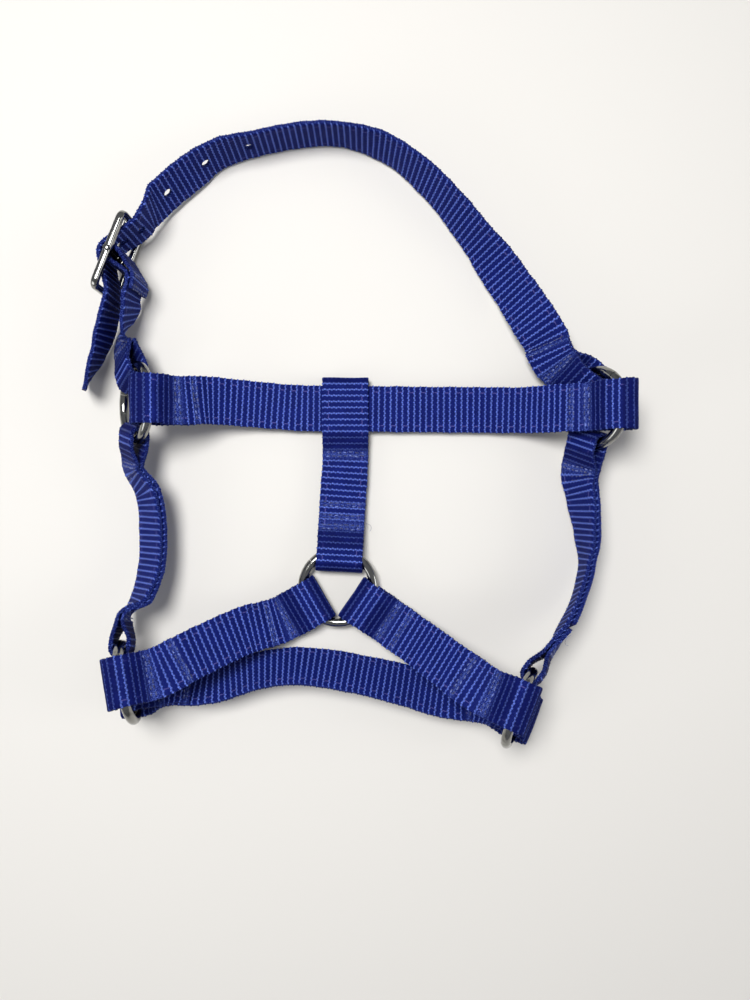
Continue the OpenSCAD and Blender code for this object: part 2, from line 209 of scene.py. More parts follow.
def make_way(a, mids, b):
    """The middle line of a strap: rows of place, direction, side, face and length so far."""
    knots = [] if a is None else [(a.place, a.away, a.side),
                                  (a.place + a.away * (a.straight + taper), a.away, a.side)]
    tail = [] if b is None else [(b.place + b.away * (b.straight + taper), -b.away, b.side),
                                 (b.place, -b.away, b.side)]
    places = [k[0] for k in knots] + [m[0] for m in mids] + [k[0] for k in tail]
    for i, (place, lean) in enumerate(mids, len(knots)):
        t = (places[min(i + 1, len(places) - 1)] - places[i - 1]).normalized()
        knots.append((place, t, lean_of(t, lean)))
    knots += tail
    rows = []
    for (p, s, u), (q, t, w) in zip(knots, knots[1:]):
        chord = (q - p).length
        n = max(1, math.ceil(chord / step))
        for j in range(n + (q is places[-1])):
            f = j / n
            place = ((2 * f ** 3 - 3 * f * f + 1) * p + (f ** 3 - 2 * f * f + f) * chord * s
                     + (3 * f * f - 2 * f ** 3) * q + (f ** 3 - f * f) * chord * t)
            rows.append((place, u.lerp(w, ease(f))))
    way, so_far = [], 0.0
    for i, (place, side) in enumerate(rows):
        t = (rows[min(i + 1, len(rows) - 1)][0] - rows[max(i - 1, 0)][0]).normalized()
        side = flat_of(side, t).normalized()
        so_far += (place - rows[max(i - 1, 0)][0]).length
        way.append((place, t, side, t.cross(side), so_far))
    return way


def spread(s, end, full):
    """How far a layer lies from the middle line, s along from a looped end."""
    if end is None:
        return 0
    wide = end.reach + strap_t / 2
    if s < end.straight + taper:
        f = ease((s - end.straight) / taper)
        return wide * (1 - f) + ply * f
    past_flap = s - end.flap - 1 * MM
    if full or past_flap < 0:
        return ply
    return ply * (1 - ease(past_flap / settle))


def strap_line(way, a, b, full, loose_end=False):
    """All stations from end to end: place, side, share of the width, layer and length along the way."""
    total = way[-1][4]

    def width(s):
        share = 1.0
        for end, d in ((a, s), (b, total - s)):
            if end is not None:
                share = min(share, end.gather + (1 - end.gather) * ease((d - end.straight) / taper))
        if loose_end and s > total - tip:
            past = (s - total + tip) / tip
            share = min(share, 0.45 + 0.55 * math.sqrt(max(0, 1 - past ** 2)))
        return share

    def off(s):
        return max(spread(s, a, full), spread(total - s, b, full))

    def bend(end, row, turn):
        for i in range(1, fold_steps):
            c = math.radians(turn * (90 - i * 180 / fold_steps))
            r = end.reach + strap_t / 2
            yield (end.place - end.away * math.cos(c) * r + row[3] * math.sin(c) * r, row[2], width(row[4]),
                   "fold", 0.0)

    line = []
    if a is not None:
        line += [(p - n * off(s), u, width(s), "flap_a", s) for p, _, u, n, s in reversed(way)
                 if s <= a.flap]
        line += bend(a, way[0], -1)
    line += [(p + n * off(s), u, width(s), "main", s) for p, _, u, n, s in way]
    if b is not None:
        line += bend(b, way[-1], 1)
        line += [(p - n * off(s), u, width(s), "flap_b", s) for p, _, u, n, s in reversed(way)
                 if total - s <= b.flap]
    return line


def lay_strap(name, node, way, a, b, full=False, seams=(), loose_end=False, punch=None, seed=1):
    """Weaves a strip, punches it flat, and lays it along its way."""
    line = strap_line(way, a, b, full, loose_end)
    place = np.array([p for p, *_ in line])
    flat = np.concatenate([[0], np.cumsum(np.linalg.norm(np.diff(place, axis=0), axis=1))])
    strip, woven = weave_strip(name, flat[-1])
    stretch = flat[-1] / woven
    if punch is not None:
        punch(strip, line, flat / stretch)
    mesh = strip.data
    co = np.empty(len(mesh.vertices) * 3)
    mesh.vertices.foreach_get("co", co)
    co = co.reshape(-1, 3)
    total = way[-1][4]

    # Where the webbing is pulled tight and painted in shade beside each ring and over each fold, sewn through
    # or cut and sealed.
    layer = [kind for *_, kind, _ in line]
    run = np.array([s for *_, s in line])
    tight_and_shaded = np.zeros(len(line))
    sewn = np.zeros(len(line))
    for end, from_end in ((a, run), (b, total - run)):
        if end is None:
            continue
        start = end.straight - 0.3 * MM
        stop = end.straight + taper + 0.5 * MM
        hold = np.clip((from_end - start) / (1.2 * MM), 0, 1) * np.clip((stop - from_end) / (1.5 * MM), 0, 1)
        tight_and_shaded = np.maximum(tight_and_shaded, 0.85 * hold)
    folded = np.array([kind == "fold" for kind in layer])
    # The outer face of each fold is painted in shade: its thread rows dimmed and its bars darkened.
    tight_and_shaded[folded] = 0.9
    for s, half in seams:
        sewn = np.maximum(sewn, np.exp(-((run - s) / half) ** 2) * ~folded)
    sealed = np.maximum(np.exp(-flat / (0.8 * MM)), np.exp(-(flat[-1] - flat) / (0.8 * MM)))

    # Flat pattern: ribs counted along, millimetres across, the two selvages set apart.
    loops = np.empty(len(mesh.loops), dtype=int)
    mesh.loops.foreach_get("vertex_index", loops)
    face_y = np.repeat([np.sign(f.normal.y) * (abs(f.normal.y) > 0.75) for f in mesh.polygons],
                       [f.loop_total for f in mesh.polygons])
    u = co[loops, 0] / rib
    v = np.where(face_y == 0, co[loops, 1], face_y * selvage_at + co[loops, 2]) / MM
    weave = mesh.uv_layers[0]
    weave.name = "weave"
    weave.data.foreach_set("uv", np.column_stack([u, v]).ravel())

    x = np.clip(co[:, 0] * stretch, 0, flat[-1])
    for title, values in (("tight_and_shaded", tight_and_shaded), ("sewn", sewn), ("sealed", sealed)):
        mesh.attributes.new(title, "FLOAT", "POINT").data.foreach_set("value", np.interp(x, flat, values))
    rng = np.random.default_rng(seed)
    wander = sum(rng.uniform(0.03, 0.09) * MM * np.sin(x / (w * MM) + rng.uniform(0, 6.3))
                 for w in (0.9, 1.7, 3.1, 5.3))
    slant = co[:, 1] / (3 * MM)
    ripple = sum(rng.uniform(0.02, 0.06) * MM * np.sin(x / (w * MM) + rng.uniform(0, 6.3) + slant)
                 for w in (1.3, 2.9, 6.1))
    side = np.array([u for _, u, *_ in line])
    share = np.array([g for _, _, g, *_ in line])
    p = np.column_stack([np.interp(x, flat, place[:, i]) for i in range(3)])
    ahead = np.column_stack([np.interp(x + look_along, flat, place[:, i]) for i in range(3)])
    behind = np.column_stack([np.interp(x - look_along, flat, place[:, i]) for i in range(3)])
    t = ahead - behind
    t /= np.linalg.norm(t, axis=1)[:, None]
    u = np.column_stack([np.interp(x, flat, side[:, i]) for i in range(3)])
    u -= (u * t).sum(1)[:, None] * t
    u /= np.linalg.norm(u, axis=1)[:, None]
    n = np.cross(t, u)
    pressed = 1 - 0.28 * np.interp(x, flat, sewn) - 0.06 * np.interp(x, flat, tight_and_shaded)
    at_edge = np.abs(co[:, 1]) > 0.45 * strap_w
    y = co[:, 1] * np.interp(x, flat, share) + wander * np.sign(co[:, 1]) * at_edge
    z = co[:, 2] * pressed + ripple
    laid = p + u * y[:, None] + n * z[:, None]
    mesh.vertices.foreach_set("co", laid.ravel())
    mesh.update()
    strip.data.materials.clear()
    strip.data.materials.append(blue_webbing)
    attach(strip, "webbing")
    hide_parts(node)


class Wire:
    """The output of a shader node, with Python's operators for its maths."""

    def __init__(self, socket):
        self.socket = socket

    @staticmethod
    def node(tree, kind, settings=None, inputs=None, output=0):
        made = tree.nodes.new(kind)
        for title, value in (settings or {}).items():
            setattr(made, title, value)
        for title, value in (inputs or {}).items():
            if isinstance(value, Wire):
                tree.links.new(value.socket, made.inputs[title])
            else:
                made.inputs[title].default_value = value
        return Wire(made.outputs[output])

    def maths(self, operation, *terms):
        return Wire.node(self.socket.id_data, "ShaderNodeMath", {"operation": operation},
                         dict(enumerate(terms)))

    def __add__(self, other):
        return self.maths("ADD", self, other)

    __radd__ = __add__

    def __sub__(self, other):
        return self.maths("SUBTRACT", self, other)

    def __rsub__(self, other):
        return self.maths("SUBTRACT", other, self)

    def __mul__(self, other):
        return self.maths("MULTIPLY", self, other)

    def __truediv__(self, other):
        return self.maths("DIVIDE", self, other)

    def or_more(self, other):
        return self.maths("MAXIMUM", self, other)

    def __abs__(self):
        return self.maths("ABSOLUTE", self)

    def __gt__(self, other):
        return self.maths("GREATER_THAN", self, other)

    def fract(self):
        return self.maths("FRACT", self)

    def zigzag(self, half):
        """Up and down between 0 and 1, turning every half."""
        return self.maths("PINGPONG", self, half) / half

    def smooth(self, low, high):
        """0 at low, 1 at high, eased between."""
        return Wire.node(self.socket.id_data, "ShaderNodeMapRange", {"interpolation_type": "SMOOTHSTEP"},
                         {"Value": self, "From Min": low, "From Max": high})

    def tint(self, low, high):
        """From one colour to another as this goes from 0 to 1."""
        return Wire.node(self.socket.id_data, "ShaderNodeMix", {"data_type": "RGBA", "clamp_factor": True},
                         {0: self, 6: low, 7: high}, 2)


def new_finish(name, **constants):
    """A material whose shader takes its steady values straight on its sockets."""
    material = bpy.data.materials.new(name)
    material.use_nodes = True
    shader = material.node_tree.nodes["Principled BSDF"]
    for title, value in constants.items():
        shader.inputs[title.replace("_", " ")].default_value = value
    return material, material.node_tree, shader


# Ribbed nylon: zigzag thread rows painted bright blue as a sheen highlight between flat dark bars, dull
# binder threads near both selvages; rows and bars painted in shade beside the rings and over the folds.
navy = (0.0008, 0.0030, 0.060, 1)
royal = (0.0045, 0.0125, 0.165, 1)
# Painted sheen colour for the thread rows and glints, also used for the selvage dashes and stitch specks.
sheen_and_fleck_blue = (0.165, 0.260, 0.900, 1)
mauve = (0.095, 0.090, 0.330, 1)
blue_webbing, tree, shader = new_finish("blue_webbing", Specular_IOR_Level=0.07)
weave = Wire.node(tree, "ShaderNodeUVMap", {"uv_map": "weave"})
ribs = Wire.node(tree, "ShaderNodeSeparateXYZ", None, {0: weave}, 0)
across = Wire.node(tree, "ShaderNodeSeparateXYZ", None, {0: weave}, 1)
# The mark read here for pulled-tight webbing also carries painted shade beside each ring and over each fold.
tight_and_shaded, sewn, sealed = (Wire.node(tree, "ShaderNodeAttribute", {"attribute_name": title}, None, 2)
                       for title in ("tight_and_shaded", "sewn", "sealed"))
flat_place = Wire.node(tree, "ShaderNodeCombineXYZ", None, {0: ribs * 2.45, 1: across})
fibre = Wire.node(tree, "ShaderNodeTexNoise", None, {"Vector": flat_place, "Scale": 1.9, "Detail": 3.0}, 0)
glint = Wire.node(tree, "ShaderNodeTexNoise", None, {"Vector": flat_place, "Scale": 4.2, "Detail": 1.0}, 0)
patch = Wire.node(tree, "ShaderNodeTexNoise", None, {"Vector": flat_place, "Scale": 0.22, "Detail": 1.0}, 0)
selvage = abs(across) > 12
twist = (across * 0.543 + (fibre - 0.5) * 0.6).zigzag(0.5)
wavy = ribs + (twist - 0.5) * 0.15 + (fibre - 0.5) * 0.14
row = abs(wavy.fract() - 0.5)
thread = row.smooth(0.19, 0.07)
bead = abs(twist - 0.5).smooth(0.16, 0.44)
# Painted glints: bright spots scattered along the thread rows, also raised a little in the bump.
sparkle = glint.smooth(0.44, 0.60)
filament = (across * 2.2 + (fibre - 0.5) * 0.6).zigzag(0.5)
every_other = (ribs * 0.5 + 0.25 + (across > 0) * 0.5).fract() > 0.5
binder_near = abs(abs(across) - 6.9 + (fibre - 0.5) * 0.5).smooth(0.30, 0.12)
binder = binder_near * every_other * fibre.smooth(0.36, 0.50) * (1 - thread) * (1 - tight_and_shaded)
lean_one = (ribs * 3.1 + abs(across) * 0.62).zigzag(0.5)
lean_two = (ribs * 3.1 - abs(across) * 0.62).zigzag(0.5)
dash = (lean_one.or_more(lean_two)).smooth(0.66, 0.95) * fibre.smooth(0.38, 0.58)
# Painted sheen highlight on the thread rows, brighter on the beads and glints, dimmed as painted shade where
# the webbing is pulled tight and over the folds.
face_light = thread * (0.16 + bead * 0.46 + sparkle * 0.62) * (1 - tight_and_shaded * 0.80)
light = face_light * (1 - selvage) + selvage * dash * 0.45
speck = glint.smooth(0.50, 0.62) * fibre.smooth(0.40, 0.55) * sewn * 0.8
# Painted glints: small bright spots scattered over the bars.
painted_bar_glint = glint.smooth(0.60, 0.72) * (1 - tight_and_shaded) * 0.16
light = (light * (1 - sewn * 0.7)).or_more(speck).or_more(painted_bar_glint) * (1 - sealed * 0.5)
# The dyed bars vary at random and are painted darker, as shade, where the webbing is pulled tight and over
# the folds.
bar = filament * 0.25 + fibre * 0.7 + patch * 0.6 - 0.45 - tight_and_shaded * 0.30
ground = bar.tint(navy, royal)
# The sheen blue colours the painted highlights on rows and bars, and also the real selvage dashes and stitch
# specks.
colour = light.tint((binder * 0.8).tint(ground, mauve), sheen_and_fleck_blue)
tree.links.new(colour.socket, shader.inputs["Base Color"])
tree.links.new((0.72 - thread * 0.16).socket, shader.inputs["Roughness"])
raised = thread * (0.4 + bead * 0.5 + sparkle * 0.3) + filament * 0.15 + binder * 0.6
relief = raised + fibre * 0.3 + selvage * dash
bump = Wire.node(tree, "ShaderNodeBump", None, {"Height": relief, "Distance": 0.3 * MM, "Strength": 1.0})
tree.links.new(bump.socket, shader.inputs["Normal"])

# Rings: centre, first and second direction in the ring's plane.
wire_r = ring_wire / 2
lift = (ring_c + wire_r + gap + strap_t) / MM + 2.8
ring_ul = (at(-94.6, 38.5, ring_c / MM + 1.2), Vector((0, -1, 0)), Vector((0.6, 0, 0.8)))
ring_ur = (at(87, 36.3, (ring_c + wire_r) / MM), Vector((0, -1, 0)), unit(0.5, 0, 0.866))
ring_ll = (at(-96, -70.6, lift), unit(0.2, -0.98, 0), unit(0.17, 0.035, 0.985))
ring_lr = (at(56.3, -80.6, lift), unit(-0.34, -0.94, 0), unit(-0.329, 0.119, 0.937))
ring_ld = (at(-15.2, -35.9, (wire_r + gap + strap_t) / MM + 0.15), Vector((1, 0, 0)), Vector((0, 1, 0)))

jaw_z = 0.9 + 0.15
throat_z = jaw_z + 1.8 + 0.3
jaw_x = -12.2
throat_a = ring_end(ring_ul, 90, unit(1, 0, -0.35), 0, 20)
throat_b = arriving(ring_end(ring_ur, 90, unit(-1, 0, -0.7), 0, 22))
throat_way = make_way(throat_a, [
    (at(-66, 39.8, 13), 0), (at(-50, 39.2, 6), 0), (at(-31, 38, throat_z), 0),
    (at(jaw_x, 37.8, throat_z), 0), (at(10, 37.5, throat_z), 0), (at(45, 37.2, throat_z), 0),
    (at(60, 36.8, 6), 0), (at(70, 36.5, 13), 0)], throat_b)


def both_ends(way, a, b):
    """Seams beside the two rings and near the ends of the two flaps."""
    total = way[-1][4]
    seams = []
    for end, place in ((a, lambda s: s), (b, lambda s: total - s)):
        if end is not None:
            seams.append((place(end.straight + taper + 1 * MM), 1.7 * MM))
            seams.append((place(end.flap - 1.5 * MM), 0.9 * MM))
    return seams


lay_strap("throat_webbing", "throat_strap", throat_way, throat_a, throat_b,
          seams=both_ends(throat_way, throat_a, throat_b), seed=11)


# ---------------------------------------------------------------------------
# Jaw strap: the same webbing, folded over the throat strap at its top and
# round the lead ring below, each fold sewn back on itself.
# ---------------------------------------------------------------------------
jaw_a = End(at(jaw_x, 37.8, throat_z) + Vector((0, strap_w / 2 + 0.4 * MM, 0)), Vector((0, -1, 0)),
            Vector((1, 0, 0)), strap_t / 2 + 0.3 * MM, strap_w + 1 * MM, strap_w + 32 * MM, 1)
jaw_b = arriving(ring_end(ring_ld, 87, Vector((0, 1, 0)), 0, 20))
jaw_way = make_way(jaw_a, [(at(-13.4, -2, jaw_z + 1.8), 0)], jaw_b)
lay_strap("jaw_webbing", "jaw_strap", jaw_way, jaw_a, jaw_b,
          seams=both_ends(jaw_way, jaw_a, jaw_b), seed=12)


# ---------------------------------------------------------------------------
# Crown strap: the same webbing on edge over the arch, woven through the buckle,
# with four punched holes, one slot for the tongue and a rounded, sealed end.
# ---------------------------------------------------------------------------
bar_d = 2.6
window_l = 12.2
side_d = 2.8
tongue_d = 1.8
bar_gap = 1.5
hole_pitch = 19 * MM
first_hole = 55 * MM
hole_d = 3.8 * MM
slot_w = 3.2 * MM
buckle_w = 19 + 1.6
buckle_o = at(-102.6, 96.6, buckle_w / 2 + side_d + 0.1)
buckle_x = unit(0.367, 0.93, 0)
buckle_y = Vector((-buckle_x.y, buckle_x.x, 0))
weave_top = bar_d / 2 + 0.3 + 1.8 + 0.35 + 0.9
weave_low = -(side_d / 2 + bar_gap + 0.9)
weave_x = bar_d / 2 + window_l + side_d / 2
hang = 19 / 2 + 0.2


def on_buckle(x, y):
    return buckle_o + (x * buckle_x + y * buckle_y) * MM


crown_a = ring_end(ring_ur, 212, unit(-0.78, 0.62, 0.1), 130, 24)
crown_way = make_way(crown_a, [
    (at(66.5, 67.5, 12), 146), (at(53.4, 89.7, 19 * 0.38 + 1), 135), (at(38.6, 109.5, hang - 0.6), 115),
    (at(23.1, 127.7, hang), 106), (at(5, 142, hang), 98), (at(-14.2, 147.9, hang), 90),
    (at(-30.4, 147.5, hang), 90), (at(-46.5, 144.5, hang), 90), (at(-62.7, 140.2, hang), 96),
    (at(-74.9, 131.7, hang + 0.4), 106), (at(-87, 120.6, hang + 1.6), 104),
    (on_buckle(weave_x + 5, weave_low - 1.2), 90), (on_buckle(weave_x - 0.6, weave_low), 90),
    (on_buckle(5, weave_top - 2.1), 90), (on_buckle(0, weave_top), 90),
    (on_buckle(-5, weave_top - 2.1), 90), (on_buckle(0.6 - weave_x, weave_low), 90),
    (on_buckle(-weave_x - 5, weave_low - 0.8), 90),
    (at(-108.6, 67, hang + 2), 90), (at(-112, 57.5, hang + 1), 82), (at(-118, 45, hang - 0.8), 66)], None)
crown_length = crown_way[-1][4]
hole_places = [crown_length - first_hole - i * hole_pitch for i in range(1, 5)]


def cut_slot(strip, start, end, wide):
    """Cuts a round-ended slot, or a round hole, through the flat strip."""
    bpy.ops.object.select_all(action="DESELECT")
    bpy.ops.mesh.primitive_cylinder_add(vertices=32, radius=wide / 2, depth=4 * strap_t,
                                        location=(start, 0, 0))
    cutter = bpy.context.object
    bpy.ops.object.transform_apply(location=True, rotation=True, scale=True)
    if end > start:
        select_in(cutter, "VERT", lambda v: v.co.x > start + wide * 0.01)
        bpy.ops.transform.translate(value=(end - start, 0, 0))
        bpy.ops.object.mode_set(mode="OBJECT")
    bpy.ops.object.select_all(action="DESELECT")
    strip.select_set(True)
    bpy.context.view_layer.objects.active = strip
    cut = strip.modifiers.new("cut", "BOOLEAN")
    cut.operation = "DIFFERENCE"
    cut.solver = "EXACT"
    cut.object = cutter
    bpy.ops.object.modifier_apply(modifier=cut.name)
    bpy.data.objects.remove(cutter)


def punch_crown(strip, line, flat):
    """Four holes on the free run of the strap and the slot that the tongue goes through."""
    main = [(row, x) for row, x in zip(line, flat) if row[3] == "main"]
    for s in hole_places:
        x = next(x for row, x in main if row[4] >= s)
        cut_slot(strip, x, x, hole_d)
    near = [((row[0] - buckle_o).dot(buckle_x) / MM, x) for row, x in main
            if (row[0] - buckle_o).length < 16 * MM]
    start = min(x for local, x in near if local < 7.5)
    end = min(x for local, x in near if local < 2.0)
    cut_slot(strip, start, end, slot_w)


lay_strap("crown_webbing", "crown_strap", crown_way, crown_a, None, loose_end=True,
          seams=both_ends(crown_way, crown_a, None), punch=punch_crown, seed=13)


# ---------------------------------------------------------------------------
# Buckle strap: a short double piece of the webbing from the centre bar of the
# buckle to the upper left ring, slotted at the fold to let the tongue swing.
# ---------------------------------------------------------------------------
bs_a = End(buckle_o, (-0.42 * buckle_x - 0.9 * buckle_y).normalized(), Vector((0, 0, 1)),
           (bar_d / 2 + 0.3) * MM, 1.5 * MM, 17 * MM, 1)
bs_b = arriving(ring_end(ring_ul, 203, unit(0.1, 1, 0.3), -90, 17, 0.8))
bs_way = make_way(bs_a, [(at(-97.2, 79, hang + 3), 90)], bs_b)


def punch_buckle_strap(strip, line, flat):
    fold = [x for row, x in zip(line, flat) if row[3] == "fold"]
    bar_fold = [x for x in fold if x < flat[-1] / 2]
    middle = (bar_fold[0] + bar_fold[-1]) / 2
    cut_slot(strip, middle - 4.6 * MM, middle + 4.6 * MM, 2.8 * MM)


lay_strap("buckle_webbing", "buckle_strap", bs_way, bs_a, bs_b,
          seams=both_ends(bs_way, bs_a, bs_b), punch=punch_buckle_strap, seed=14)


# ---------------------------------------------------------------------------
# Cheek straps: two layers of the webbing all along, standing nearly on edge
# between the upper and lower rings, gathered where they share a ring.
# ---------------------------------------------------------------------------
cl_a = ring_end(ring_ul, -12, unit(0.02, -1, 0), 50, 70, 0.75)
cl_b = arriving(ring_end(ring_ll, 190, unit(0.05, 1, 0), -80, 22, 0.6))
cl_way = make_way(cl_a, [(at(-91.4, 2, 10.2), 51), (at(-90, -13, 9.2), 48), (at(-90.4, -27, 9.8), 50),
                         (at(-93.2, -38.5, 12.4), 60)], cl_b)
lay_strap("cheek_webbing_left", "cheek_strap_left", cl_way, cl_a, cl_b, full=True,
          seams=both_ends(cl_way, cl_a, cl_b)[::2], seed=15)
cr_a = ring_end(ring_ur, -18, unit(-0.02, -1, 0), 75, 78, 0.8)
cr_b = arriving(ring_end(ring_lr, 190, unit(0.6, 0.8, 0), -80, 22, 0.6))
cr_way = make_way(cr_a, [
    (at(83.9, 0, 10.6), 72), (at(85.6, -14.2, hang + 0.8), 82), (at(85.2, -27, hang + 1.4), 96),
    (at(81.6, -39, 13), 100), (at(75.6, -50, 16), 100)], cr_b)
lay_strap("cheek_webbing_right", "cheek_strap_right", cr_way, cr_a, cr_b, full=True,
          seams=both_ends(cr_way, cr_a, cr_b)[::2], seed=16)


# ---------------------------------------------------------------------------
# Chin straps: the same webbing from each lower ring down to the lead ring.
# ---------------------------------------------------------------------------
def round_lead(degrees):
    phi = math.radians(degrees)
    return Vector((math.cos(phi), math.sin(phi), 0))


nl_a = ring_end(ring_ll, 102, unit(0.93, 0.34, -0.3), 0, 24)
nl_b = arriving(ring_end(ring_ld, 210, round_lead(210), 0, 24))
nl_way = make_way(nl_a, [(at(-70, -59.2, 25.5), 0), (at(-52, -51.9, 15), 0)], nl_b)
lay_strap("chin_webbing_left", "chin_strap_left", nl_way, nl_a, nl_b,
          seams=both_ends(nl_way, nl_a, nl_b), seed=17)
nr_a = ring_end(ring_ld, 326, round_lead(326), 0, 24)
nr_b = arriving(ring_end(ring_lr, 102, unit(-0.85, 0.52, -0.3), 0, 24))
nr_way = make_way(nr_a, [(at(18, -57.5, 13), 0), (at(31, -65.5, 24), 0)], nr_b)
lay_strap("chin_webbing_right", "chin_strap_right", nr_way, nr_a, nr_b,
          seams=both_ends(nr_way, nr_a, nr_b), seed=18)


# ---------------------------------------------------------------------------
# Nose strap: the same webbing behind the chin straps, between the lower rings.
# ---------------------------------------------------------------------------
ns_a = ring_end(ring_ll, -60, unit(1, 0.35, 0), 150, 24)
ns_b = arriving(ring_end(ring_lr, -66, unit(-1, 0.2, 0), 170, 24))
nose_z = 19 * 0.4 + 0.9
ns_way = make_way(ns_a, [
    (at(-66, -74.6, nose_z), 130), (at(-48, -69.3, nose_z), 128), (at(-34.2, -67.4, nose_z), 128),
    (at(-22.4, -68, nose_z), 128), (at(-8, -70.4, nose_z), 130), (at(10, -74.5, nose_z), 134),
    (at(28, -79.5, nose_z - 0.6), 142)], ns_b)
lay_strap("nose_webbing", "nose_strap", ns_way, ns_a, ns_b,
          seams=both_ends(ns_way, ns_a, ns_b), seed=19)
bpy.data.objects.remove(one_rib)


# ---------------------------------------------------------------------------
# Stitching: bonded nylon thread in rows across each fold, one stitch modelled
# as a low arch of thread and repeated on both faces, a little out of line.
# ---------------------------------------------------------------------------
bpy.ops.object.select_all(action="DESELECT")
thread_r = 0.27 * MM
stitch_l = 2.1 * MM
stitches_across = 7
bpy.ops.mesh.primitive_cylinder_add(vertices=6, radius=thread_r, depth=stitch_l, rotation=(math.pi / 2, 0, 0))
one_stitch = bpy.context.object
bpy.ops.object.transform_apply(location=True, rotation=True, scale=True)
select_in(one_stitch, "EDGE", lambda e: runs_along(one_stitch.data, e, 1))
bpy.ops.mesh.subdivide(number_cuts=4)
for far, drop, thin in ((1.0, 0.42, 0.55), (0.6, 0.12, 0.9)):
    for way_round in (-1, 1):
        place = way_round * far * stitch_l / 2
        select_in(one_stitch, "VERT", lambda v: abs(v.co.y - place) < 0.1 * MM)
        bpy.ops.transform.resize(value=(thin, 1, thin), center_override=(0, place, 0))
        bpy.ops.transform.translate(value=(0, 0, -drop * MM))
bpy.ops.object.mode_set(mode="OBJECT")
bpy.ops.object.shade_smooth()
stitch_co = np.array([v.co for v in one_stitch.data.vertices])
stitch_faces = [tuple(f.vertices) for f in one_stitch.data.polygons]

thread_dark = (0.004, 0.009, 0.08, 1)
thread_light = (0.16, 0.23, 0.62, 1)
sewing_thread, tree, shader = new_finish("sewing_thread", Sheen_Weight=0.3)
own = Wire.node(tree, "ShaderNodeTexCoord", None, None, 3)
strand = Wire.node(tree, "ShaderNodeTexNoise", None, {"Vector": own, "Scale": 900.0, "Detail": 2.0}, 0)
ply_turn = Wire.node(tree, "ShaderNodeTexWave", {"bands_direction": "DIAGONAL"},
                     {"Vector": own, "Scale": 900.0, "Distortion": 1.5}, 1)
tone = strand.smooth(0.45, 0.68)
tree.links.new(tone.tint(thread_dark, thread_light).socket, shader.inputs["Base Color"])
tree.links.new((0.42 + strand * 0.25).socket, shader.inputs["Roughness"])
bump = Wire.node(tree, "ShaderNodeBump", None, {"Height": ply_turn + strand * 0.4, "Distance": 0.08 * MM})
tree.links.new(bump.socket, shader.inputs["Normal"])


def sew(node, *rows):
    """Rows of stitches across a strap: each row is its way and the length along it."""
    rng = random.Random(node)
    co, faces = [], []
    for way, s, deep in rows:
        row = min(way, key=lambda r: abs(r[4] - s))
        place, t, side, normal = row[:4]
        for line_at in (-0.75 * MM, 0.75 * MM):
            for i in range(stitches_across):
                y = (i - (stitches_across - 1) / 2) * (strap_w - 2.6 * MM) / stitches_across
                for face in (-1, 1):
                    slope = rng.uniform(-0.25, 0.25)
                    turn = Matrix.Rotation(slope, 3, normal)
                    a, b, c = turn @ t, turn @ side, normal
                    middle = (place + side * (y + rng.uniform(-0.2, 0.2) * MM)
                              + t * (line_at + rng.uniform(-0.25, 0.25) * MM)
                              + normal * face * (deep - rng.uniform(0.02, 0.2) * MM))
                    frame_3 = np.array([a, b, c * face])
                    first = len(co)
                    co += [Vector(v @ frame_3) + middle for v in stitch_co]
                    order = (lambda f: f) if face > 0 else (lambda f: f[::-1])
                    faces += [order(tuple(first + k for k in f)) for f in stitch_faces]
    mesh = bpy.data.meshes.new("sewn_" + node)
    mesh.from_pydata(co, [], faces)
    mesh.shade_smooth()
    piece = bpy.data.objects.new("sewn_" + node, mesh)
    bpy.context.collection.objects.link(piece)
    mesh.materials.append(sewing_thread)
    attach(piece, "webbing")
    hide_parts(node)


def beside(way, end, from_far, plus=1.0, tail=1.5):
    """The two rows of stitches that hold one fold."""
    total = way[-1][4]
    deep = 2 * ply + 0.12 * MM
    near, far = end.straight + taper + plus * MM, end.flap - tail * MM
    return [(way, total - s if from_far else s, deep * 0.86) for s in (near, far)]


sew("stitch_throat_left", *beside(throat_way, throat_a, False))
sew("stitch_throat_right", *beside(throat_way, throat_b, True))
sew("stitch_jaw_top", *beside(jaw_way, jaw_a, False, 0.5))
sew("stitch_jaw_ring", *beside(jaw_way, jaw_b, True, 0.5))
sew("stitch_crown", *beside(crown_way, crown_a, False))
sew("stitch_buckle_strap", *beside(bs_way, bs_a, False, 2), *beside(bs_way, bs_b, True, 0.5, 0.8))
for node, way, end_a, end_b in (("stitch_cheek_left", cl_way, cl_a, cl_b),
                                ("stitch_cheek_right", cr_way, cr_a, cr_b)):
    total = way[-1][4]
    deep = 2 * ply * 0.9
    upper = [end_a.straight + taper + past * MM for past in (1, 5)]
    lower = [total - end_b.straight - taper - past * MM for past in (1, 5)]
    sew(node, *((way, s, deep) for s in upper + lower))
sew("stitch_chin_left_outer", *beside(nl_way, nl_a, False))
sew("stitch_chin_left_lead", *beside(nl_way, nl_b, True))
sew("stitch_chin_right_lead", *beside(nr_way, nr_a, False))
sew("stitch_chin_right_outer", *beside(nr_way, nr_b, True))
sew("stitch_nose_left", *beside(ns_way, ns_a, False))
sew("stitch_nose_right", *beside(ns_way, ns_b, True))
bpy.data.objects.remove(one_stitch)


fibre_r = 0.06 * MM


